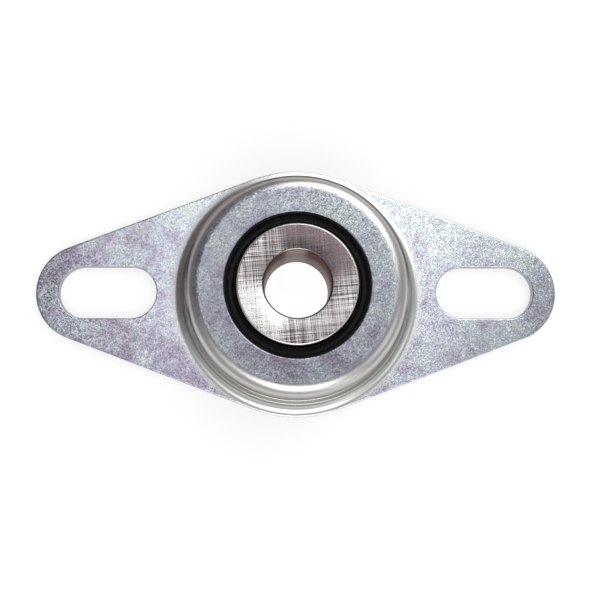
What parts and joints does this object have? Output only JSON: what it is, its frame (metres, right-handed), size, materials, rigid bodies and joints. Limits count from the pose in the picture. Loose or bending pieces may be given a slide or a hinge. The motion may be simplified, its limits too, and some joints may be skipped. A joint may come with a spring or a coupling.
{
  "type": "flange mount bearing",
  "caption": "Flange mount bearing: a pressed steel flange with slotted bolt holes and a drawn boss that holds a sealed ball bearing with a wide inner ring for a shaft.",
  "frame": {"origin": "on the shaft's axis, in the plane of the flange's mounting face", "axes": "+Z along the shaft's axis, out of the boss; +X along the line of the two bolt slots"},
  "size_m": [0.105, 0.05, 0.0175],
  "materials": {
    "zinc_plate": "bright zinc plating on cold-rolled sheet, fine matte grain",
    "ground_steel": "ground bearing steel with crossed grinding lines on its faces",
    "bearing_steel": "turned and ground bearing steel",
    "ball_steel": "polished bearing steel balls",
    "cold_rolled_steel": "pressed cold-rolled strip, satin",
    "seal_rubber": "black moulded nitrile rubber with a slight gloss from grease"
  },
  "bodies": {
    "housing": {"flange_housing": "zinc_plate", "rear_retainer": "zinc_plate", "outer_ring": "bearing_steel", "front_seal": "seal_rubber", "rear_seal": "seal_rubber", "front_seal_insert": "cold_rolled_steel", "rear_seal_insert": "cold_rolled_steel"},
    "shaft_ring": {"inner_ring": "ground_steel"},
    "cage": {"cage_front": "cold_rolled_steel", "cage_rear": "cold_rolled_steel", "cage_rivet_1": "cold_rolled_steel", "cage_rivet_2": "cold_rolled_steel", "cage_rivet_3": "cold_rolled_steel", "cage_rivet_4": "cold_rolled_steel", "cage_rivet_5": "cold_rolled_steel", "cage_rivet_6": "cold_rolled_steel", "cage_rivet_7": "cold_rolled_steel", "cage_rivet_8": "cold_rolled_steel"},
    "ball_1": {"ball_1": "ball_steel"},
    "ball_2": {"ball_2": "ball_steel"},
    "ball_3": {"ball_3": "ball_steel"},
    "ball_4": {"ball_4": "ball_steel"},
    "ball_5": {"ball_5": "ball_steel"},
    "ball_6": {"ball_6": "ball_steel"},
    "ball_7": {"ball_7": "ball_steel"},
    "ball_8": {"ball_8": "ball_steel"}
  },
  "joints": [
    {"name": "shaft_spin", "type": "hinge", "parent": "housing", "child": "shaft_ring", "pos_m": [0, 0, 0.00904], "axis": [0, 0, 1], "continuous": true},
    {"name": "cage_spin", "type": "hinge", "parent": "housing", "child": "cage", "pos_m": [0, 0, 0.00904], "axis": [0, 0, 1], "continuous": true},
    {"name": "ball_1_spin", "type": "hinge", "parent": "cage", "child": "ball_1", "pos_m": [0.0129, 0, 0.00904], "axis": [0, 0, 1], "continuous": true},
    {"name": "ball_2_spin", "type": "hinge", "parent": "cage", "child": "ball_2", "pos_m": [0.00912, 0.00912, 0.00904], "axis": [0, 0, 1], "continuous": true},
    {"name": "ball_3_spin", "type": "hinge", "parent": "cage", "child": "ball_3", "pos_m": [0, 0.0129, 0.00904], "axis": [0, 0, 1], "continuous": true},
    {"name": "ball_4_spin", "type": "hinge", "parent": "cage", "child": "ball_4", "pos_m": [-0.00912, 0.00912, 0.00904], "axis": [0, 0, 1], "continuous": true},
    {"name": "ball_5_spin", "type": "hinge", "parent": "cage", "child": "ball_5", "pos_m": [-0.0129, 0, 0.00904], "axis": [0, 0, 1], "continuous": true},
    {"name": "ball_6_spin", "type": "hinge", "parent": "cage", "child": "ball_6", "pos_m": [-0.00912, -0.00912, 0.00904], "axis": [0, 0, 1], "continuous": true},
    {"name": "ball_7_spin", "type": "hinge", "parent": "cage", "child": "ball_7", "pos_m": [0, -0.0129, 0.00904], "axis": [0, 0, 1], "continuous": true},
    {"name": "ball_8_spin", "type": "hinge", "parent": "cage", "child": "ball_8", "pos_m": [0.00912, -0.00912, 0.00904], "axis": [0, 0, 1], "continuous": true}
  ],
  "couplings": [
    {"joint": "cage_spin", "follows": "shaft_spin", "ratio": 0.37694},
    {"joint": "ball_1_spin", "follows": "shaft_spin", "ratio": -1.9084},
    {"joint": "ball_2_spin", "follows": "shaft_spin", "ratio": -1.9084},
    {"joint": "ball_3_spin", "follows": "shaft_spin", "ratio": -1.9084},
    {"joint": "ball_4_spin", "follows": "shaft_spin", "ratio": -1.9084},
    {"joint": "ball_5_spin", "follows": "shaft_spin", "ratio": -1.9084},
    {"joint": "ball_6_spin", "follows": "shaft_spin", "ratio": -1.9084},
    {"joint": "ball_7_spin", "follows": "shaft_spin", "ratio": -1.9084},
    {"joint": "ball_8_spin", "follows": "shaft_spin", "ratio": -1.9084}
  ]
}
